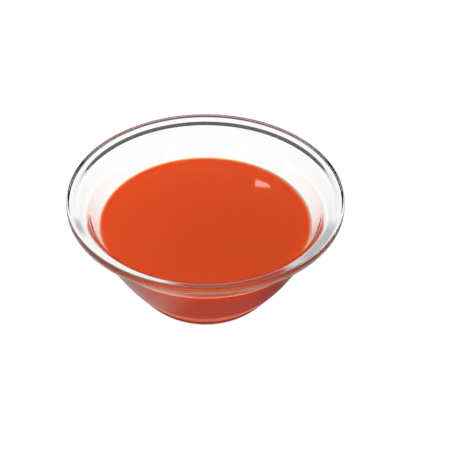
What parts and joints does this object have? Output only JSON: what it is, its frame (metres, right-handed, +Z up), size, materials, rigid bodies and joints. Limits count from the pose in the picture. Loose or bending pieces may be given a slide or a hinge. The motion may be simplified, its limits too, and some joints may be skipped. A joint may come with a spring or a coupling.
{
  "type": "glass bowl of orange juice",
  "caption": "Clear glass bowl with a flared lip, thick rounded rim and flat base, filled with opaque orange-red juice to below the lip, for serving a drink.",
  "frame": {"origin": "centre of the flat base, on the surface that the bowl stands on", "axes": "+Z up along the axis of the bowl; X and Y lie in the table, and all directions round the axis are alike"},
  "size_m": [0.23, 0.23, 0.0979],
  "materials": {
    "clear_glass": "clear, colourless, polished",
    "juice": "opaque orange-red liquid with a smooth wet surface"
  },
  "bodies": {
    "root": {"glass_bowl": "clear_glass", "orange_juice": "juice"}
  },
  "joints": []
}
